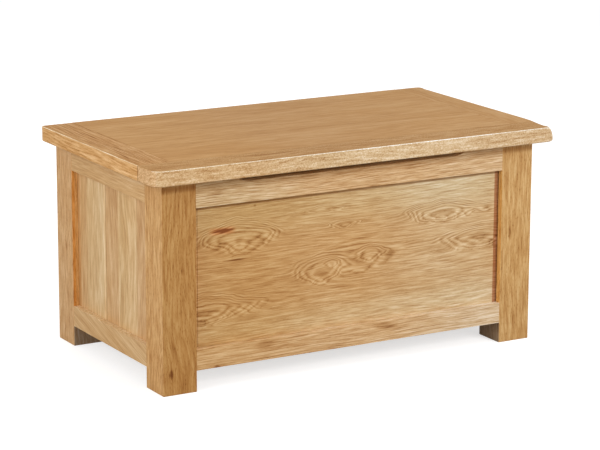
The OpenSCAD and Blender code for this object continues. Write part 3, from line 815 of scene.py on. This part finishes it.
def lid_rim():
    """The whole rim, anticlockwise from the front left corner, seen from above."""
    points = corner(LID_LEFT + FRONT_LEFT_R, LID_FRONT + FRONT_LEFT_R, FRONT_LEFT_R, 180,
                    lambda share: ARRIS)
    points += corner(LID_RIGHT - FRONT_RIGHT_R, LID_FRONT + FRONT_RIGHT_R, FRONT_RIGHT_R, 270,
                     lambda share: ARRIS + (CORNER_ROLL - ARRIS) * smooth(share * 1.5))
    start, stop = LID_FRONT + FRONT_RIGHT_R, LID_BACK - BACK_RIGHT_R
    for step in range(1, SIDE_STEPS):
        share = step / SIDE_STEPS
        roll = right_side(share)
        place = Vector((LID_RIGHT, start + (stop - start) * share, 0.0))
        points.append((place, Vector((-1.0, 0.0, 0.0)), roll, roll))
    points += corner(LID_RIGHT - BACK_RIGHT_R, LID_BACK - BACK_RIGHT_R, BACK_RIGHT_R, 0,
                     lambda share: ROLL + (ARRIS - ROLL) * smooth(share * 1.4))
    points += corner(LID_LEFT + BACK_LEFT_R, LID_BACK - BACK_LEFT_R, BACK_LEFT_R, 90,
                     lambda share: ARRIS)
    return points


print("points round the rim:", len(lid_rim()))

# %% [markdown]
# Rings of points now go down from the top of the lid to its underside. Each ring of the roll
# is the rim moved along a quarter of a circle, and a smaller quarter eases the edge below. The
# rings are joined with four-sided faces, and one face closes the top and another the bottom.

# %% Build the slab
ROLL_STEPS = 8
UNDER_ROLL = 3.0 * MM
UNDER_STEPS = 4


def lid_slab():
    """The whole lid as one closed mesh."""
    rim = lid_rim()
    mesh = bmesh.new()
    rings = []
    for step in range(ROLL_STEPS + 1):
        turn = math.radians(90 * step / ROLL_STEPS)
        rings.append([place + inward * across * (1 - math.sin(turn))
                      + Vector((0, 0, LID_TOP - down * (1 - math.cos(turn))))
                      for place, inward, across, down in rim])
    for step in range(UNDER_STEPS + 1):
        turn = math.radians(90 * step / UNDER_STEPS)
        rings.append([place + inward * UNDER_ROLL * (1 - math.cos(turn))
                      + Vector((0, 0, LID_UNDER + UNDER_ROLL * (1 - math.sin(turn))))
                      for place, inward, *_ in rim])
    verts = [[mesh.verts.new(point) for point in ring] for ring in rings]
    count = len(rim)
    for upper, lower in zip(verts, verts[1:]):
        for here in range(count):
            after = (here + 1) % count
            mesh.faces.new([lower[here], lower[after], upper[after], upper[here]])
    mesh.faces.new(verts[0])
    mesh.faces.new(list(reversed(verts[-1])))
    bmesh.ops.remove_doubles(mesh, verts=mesh.verts, dist=0.01 * MM)
    return mesh


whole_lid = lid_slab()
print("points in the slab:", len(whole_lid.verts))
whole_lid.free()

# %% [markdown]
# A board is what is left of the slab after one or two saw cuts along the joints. The saw is a
# plane: it drops what lies on one side and closes the cut with a flat face.

# %% Saw the outer boards out of the slab
LID_CREASE = math.radians(28)


def saw(mesh, place, away):
    """Cuts the mesh by a plane, drops the side that away points to, and closes the cut."""
    everything = list(mesh.verts) + list(mesh.edges) + list(mesh.faces)
    cut = bmesh.ops.bisect_plane(mesh, geom=everything, plane_co=place, plane_no=away,
                                 clear_outer=True)["geom_cut"]
    edges = [part for part in cut if isinstance(part, bmesh.types.BMEdge)]
    bmesh.ops.holes_fill(mesh, edges=edges, sides=0)


def lid_board(name, cuts):
    """One board of the lid, sawn from the slab by the planes in cuts."""
    mesh = lid_slab()
    for place, away in cuts:
        saw(mesh, Vector(place), Vector(away))
    mesh.normal_update()
    data = bpy.data.meshes.new(name)
    mesh.to_mesh(data)
    mesh.free()
    board = bpy.data.objects.new(name, data)
    bpy.context.scene.collection.objects.link(board)
    for face in data.polygons:
        face.use_smooth = True
    data.set_sharp_from_angle(angle=LID_CREASE)
    normals = board.modifiers.new("Normals", "WEIGHTED_NORMAL")
    normals.keep_sharp = True
    return board


joint = (0.0, JOINT_Y, 0.0)
front_board = lid_board("lid_front", [(joint, (0, 1, 0))])
left_end = lid_board("lid_left_end", [(joint, (0, -1, 0)), ((-JOINT_X, 0, 0), (1, 0, 0))])
right_end = lid_board("lid_right_end", [(joint, (0, -1, 0)), ((JOINT_X, 0, 0), (-1, 0, 0))])
for board, node, slot in (
    (front_board, "lid_front_board", "oak_lid_front"),
    (left_end, "lid_end_left", "oak_lid_ends"),
    (right_end, "lid_end_right", "oak_lid_ends"),
):
    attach(board, "lid")
    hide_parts(node)
    print(board.name, "faces:", len(board.data.polygons))

# %% [markdown]
# ## Lid boards
# The top of the lid is calm: straight quarter-sawn boards of one even tan, with coarser, more
# open grain in the end boards. The front edge of the front board is paler and speckled with
# short open pores, its arris carries an almost cream painted highlight, and a thin glue line
# shows at each joint. The lid is nearly matt: a sheen would turn milky at the flat angle a lid is
# seen from.
#
# An arris is where a surface faces half upwards and half outwards, so its painted highlight asks
# for a little of both.

# %% Colours and streaks of the lid
LID_SHEEN = 0.01
TOP_TONE = (0.528, 0.294, 0.121)
TOP_LEFT_TINT = (1.03, 1.01, 0.92)
TOP_RIGHT_TINT = (1.05, 1.07, 1.10)
FRONT_TOP_TINT = (0.93, 0.93, 0.92)
END_TOP_TINT = (1.03, 0.99, 0.90)
LID_FRONT_FACE = (1.075, 1.24, 1.49)
LID_FRONT_MIDDLE = (1.05, 1.16, 1.33)
LID_FRONT_RIGHT = (0.95, 0.93, 0.92)
LID_FRONT_END = (1.39, 1.63, 2.11)
LID_SIDE_FACE = (1.23, 1.23, 1.19)
# painted highlight along the top edges of the lid
ARRIS_PAINTED_HIGHLIGHT = (1.48, 2.10, 3.40)
JOINT_LINE = (0.45, 0.34, 0.25)
TOP_JOINT_LINE = (0.84, 0.77, 0.70)
GLUE = 0.7 * MM
LEFT_END_STREAKS = [
    ((0.070, 0.008, 0.060, 0.004), 0.28),
    ((0.040, -0.002, 0.050, 0.003), 0.24),
    ((-0.110, -0.010, 0.070, 0.004), 0.30),
    ((-0.140, -0.020, 0.060, 0.003), 0.26),
]
FRONT_STREAKS = [
    ((-0.190, 0.008, 0.080, 0.004), 0.34),
    ((-0.230, 0.014, 0.060, 0.003), 0.26),
    ((-0.330, -0.004, 0.060, 0.004), 0.20),
]
top_tints = [
    (TOP_LEFT_TINT, on_face("+z"), ("x", -0.05, -0.30)),
    (TOP_RIGHT_TINT, on_face("+z"), ("x", 0.05, 0.35)),
]
lid_front_tints = top_tints + [
    (FRONT_TOP_TINT, on_face("+z")),
    (LID_FRONT_FACE, on_face("-y")),
    (LID_FRONT_MIDDLE, on_face("-y"), ("x", -0.30, -0.05)),
    (LID_FRONT_RIGHT, on_face("-y"), ("x", 0.05, 0.35)),
    (LID_FRONT_END, on_face("-x")),
    # painted highlight along the front top edge
    (ARRIS_PAINTED_HIGHLIGHT, ("-y", 0.25, 0.40), ("+z", 0.25, 0.40)),
    (JOINT_LINE, ("y", JOINT_Y - 2 * GLUE, JOINT_Y - GLUE), ("-x", 0.5, 0.6)),
]
left_end_tints = [
    (END_TOP_TINT, on_face("+z")),
    (LID_SIDE_FACE, on_face("-x")),
    # painted highlight along the left end's top edge
    (ARRIS_PAINTED_HIGHLIGHT, ("-x", 0.25, 0.40), ("+z", 0.25, 0.40)),
    (JOINT_LINE, ("y", JOINT_Y + 2 * GLUE, JOINT_Y + GLUE), ("-x", 0.5, 0.6)),
    (TOP_JOINT_LINE, ("x", -JOINT_X - 2 * GLUE, -JOINT_X - GLUE), ("+z", 0.5, 0.6)),
]
print("streaks in the lid:", len(LEFT_END_STREAKS) + len(FRONT_STREAKS))

# %% [markdown]
# The grain of the end boards and of the battens runs from front to back, so their axes are
# swapped. The four boards between them share one tone and one cut, and each has its own seed.

# %% Dress the lid
front_board.data.materials.append(
    oak("lid_front_oak", "xyz", TOP_TONE, 160.0, middle_of("lid_front_board"),
        ring=0.006, heart=(0.20, 0.25), contrast=SPECKLED, marks=FRONT_STREAKS,
        tints=lid_front_tints, clouds=0.25, sheen=LID_SHEEN))
left_end.data.materials.append(
    oak("lid_left_oak", "yxz", TOP_TONE, 165.0, middle_of("lid_end_left"),
        ring=0.005, heart=(-0.09, 0.07), wander=0.10, contrast=WILD, marks=LEFT_END_STREAKS,
        tints=left_end_tints, clouds=0.3, sheen=LID_SHEEN))
right_end.data.materials.append(
    oak("lid_right_oak", "yxz", TOP_TONE, 168.0, middle_of("lid_end_right"),
        ring=0.006, heart=(0.20, 0.22), contrast=QUIET,
        tints=top_tints, clouds=0.25, sheen=LID_SHEEN))
for number in range(1, 5):
    node = f"lid_board_{number}"
    dress(node, oak(node + "_oak", "xyz", TOP_TONE, 170.0 + 6 * number, middle_of(node),
                    ring=0.007, heart=(0.14, 0.16), contrast=QUIET,
                    tints=top_tints, clouds=0.25, sheen=LID_SHEEN))
    ease_edges(node, 0.25 * MM, 1)
dress("lid_battens", oak("batten_oak", "yxz", BASE_TONE, 198.0, middle_of("lid_battens"),
                         contrast=CALM))
ease_edges("lid_battens", 1.0 * MM)
print("lid dressed")

# %% [markdown]
# ## Brass and steel
# The hinges are satin brass and the folding stays are zinc-plated steel. Both are metals, so
# their colour is the colour of their reflection. Fine noise in the roughness, pulled out
# along the piece, gives the brushed look.

# %% Metal finishes
def metal(name, colour, dark, roughness, grain):
    """A brushed metal whose streaks follow the grain axis."""
    material = bpy.data.materials.new(name)
    material.use_nodes = True
    tree = material.node_tree
    shader = tree.nodes["Principled BSDF"]
    coordinates = tree.nodes.new("ShaderNodeTexCoord")
    place = board_space(tree, coordinates.outputs["Object"], grain, (0, 0, 0))
    brushed = streaks(tree, place, 60.0, 2500.0, 3.0, 2.0)
    cloudy = streaks(tree, place, 40.0, 60.0, 7.0, 2.0)
    mixed = calc(tree, "MULTIPLY_ADD", brushed, 0.4, calc(tree, "MULTIPLY", cloudy, 0.6))
    colours = painted(tree, mixed, [(0.3, dark), (0.7, colour)])
    tree.links.new(colours, shader.inputs["Base Color"])
    rough = calc(tree, "MULTIPLY_ADD", mixed, 0.25, roughness)
    tree.links.new(rough, shader.inputs["Roughness"])
    shader.inputs["Metallic"].default_value = 1.0
    return material


brass = metal("satin_brass", (0.72, 0.53, 0.24), (0.55, 0.38, 0.15), 0.22, "xyz")
steel = metal("zinc_plated_steel", (0.66, 0.66, 0.64), (0.50, 0.50, 0.49), 0.25, "yzx")
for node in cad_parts:
    if node.startswith(("hinge", "stay")):
        dress(node, brass if node.startswith("hinge") else steel)
        ease_edges(node, 0.2 * MM, 1)
print("fittings dressed")

# %% [markdown]
# ## Floor and light
# The box stands on a pale studio floor. The floor is white to the camera wherever nothing
# shades it, so its own glow makes up most of what the camera sees, and a thinner share of
# real light on it keeps the soft shadow under the box. To every other ray it is an ordinary
# pale floor, so it lights the box from below as a real one would. The backdrop is white to
# the eye in the same way, but lights the box with only a little more than half of that.

# %% Floor and backdrop
FLOOR_GLOW = 0.64
FLOOR_THIN = (0.66, 0.66, 0.66, 1.0)
FLOOR_PLAIN = (0.45, 0.45, 0.45, 1.0)
WHITE = (1.0, 1.0, 1.0, 1.0)
ROOM_LIGHT = 0.55


def seen_by_eye(tree):
    """1 for a ray that comes straight from the eye, a mirror or a glass, and 0 for others."""
    ray = tree.nodes.new("ShaderNodeLightPath").outputs
    return calc(tree, "MAXIMUM", ray["Is Camera Ray"],
                calc(tree, "MAXIMUM", ray["Is Glossy Ray"], ray["Is Transmission Ray"]))


def studio_floor():
    """A wide pale floor that looks white and keeps the box's shadow."""
    data = bpy.data.meshes.new("studio_floor")
    mesh = bmesh.new()
    bmesh.ops.create_circle(mesh, cap_ends=True, radius=40.0, segments=96)
    mesh.to_mesh(data)
    mesh.free()
    floor = bpy.data.objects.new("studio_floor", data)
    bpy.context.scene.collection.objects.link(floor)
    material = bpy.data.materials.new("studio_floor")
    material.use_nodes = True
    tree = material.node_tree
    tree.nodes.clear()
    thin = add_node(tree, "ShaderNodeBsdfDiffuse", {}, {"Color": FLOOR_THIN})
    glow = add_node(tree, "ShaderNodeEmission", {}, {"Color": WHITE, "Strength": FLOOR_GLOW})
    both = add_node(tree, "ShaderNodeAddShader", {}, {0: thin.outputs[0], 1: glow.outputs[0]})
    plain = add_node(tree, "ShaderNodeBsdfDiffuse", {}, {"Color": FLOOR_PLAIN})
    chosen = add_node(tree, "ShaderNodeMixShader", {}, {
        0: seen_by_eye(tree), 1: plain.outputs[0], 2: both.outputs[0]})
    output = tree.nodes.new("ShaderNodeOutputMaterial")
    tree.links.new(chosen.outputs[0], output.inputs["Surface"])
    data.materials.append(material)
    floor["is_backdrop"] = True


def studio_world():
    """Even light from all round, and white where the camera sees past the floor."""
    world = bpy.data.worlds.new("studio")
    bpy.context.scene.world = world
    world.use_nodes = True
    tree = world.node_tree
    level = calc(tree, "MULTIPLY_ADD", seen_by_eye(tree), 1.0 - ROOM_LIGHT, ROOM_LIGHT)
    background = tree.nodes["Background"]
    background.inputs["Color"].default_value = WHITE
    tree.links.new(level, background.inputs["Strength"])


studio_floor()
studio_world()
print("floor and backdrop in place")

# %% [markdown]
# Three large soft lamps do the rest. The main one stands in front and to the right, above
# head height, so the fronts of the boards brighten a little towards the right and the lid
# throws a soft shadow on the rail below it. A second fills the left-hand side, and a weak
# one behind keeps the back from going dull.

# %% Soft lamps
def soft_lamp(name, place, aim, size, watts):
    """A square area lamp that looks at a point."""
    data = bpy.data.lights.new(name, "AREA")
    data.shape = "SQUARE"
    data.size = size
    data.energy = watts
    lamp = bpy.data.objects.new(name, data)
    bpy.context.scene.collection.objects.link(lamp)
    lamp.location = place
    lamp.rotation_euler = (Vector(aim) - Vector(place)).to_track_quat("-Z", "Y").to_euler()
    print(name, "of", watts, "watts")


BOX_MIDDLE = (0.0, 0.0, 0.25)
soft_lamp("main_lamp", (0.9, -2.9, 1.5), BOX_MIDDLE, 1.3, 62.0)
soft_lamp("left_lamp", (-2.6, -0.6, 1.1), BOX_MIDDLE, 1.6, 30.0)
soft_lamp("back_lamp", (0.8, 2.8, 1.8), BOX_MIDDLE, 1.8, 22.0)

# %% [markdown]
# ## Camera
# The camera stands a little over five metres away with a long lens, to the left of the front
# and slightly above the lid, as a furniture catalogue shows a chest, with three faces in view
# and hardly any bending of its lines.

# %% Camera
CAMERA_PLACE = (-2.591, -4.509, 1.498)
TURN = math.radians(29.92)
LOOK_DOWN = math.radians(13.46)
TILT = math.radians(0.2)
camera_data = bpy.data.cameras.new("camera")
camera_data.lens = 151.0
camera_data.sensor_width = 36.0
camera = bpy.data.objects.new("camera", camera_data)
bpy.context.scene.collection.objects.link(camera)
camera.location = CAMERA_PLACE
heading = Euler((math.pi / 2 - LOOK_DOWN, 0.0, -TURN)).to_matrix()
camera.rotation_euler = (heading @ Matrix.Rotation(TILT, 3, "Z")).to_euler()
bpy.context.scene.camera = camera
bpy.context.scene.view_settings.view_transform = "Standard"
print("camera distance in metres:", round(Vector(CAMERA_PLACE).length, 2))

# %% [markdown]
# ## Measure and finish
# The dressed box must be no larger than the measured one, so both sizes are printed.

# %% Print both sizes
dressed_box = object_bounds()
for label, (low, high) in (("measured", cad_box), ("dressed", dressed_box)):
    print(label, "size in mm:", [round((b - a) / MM, 2) for a, b in zip(low, high)])
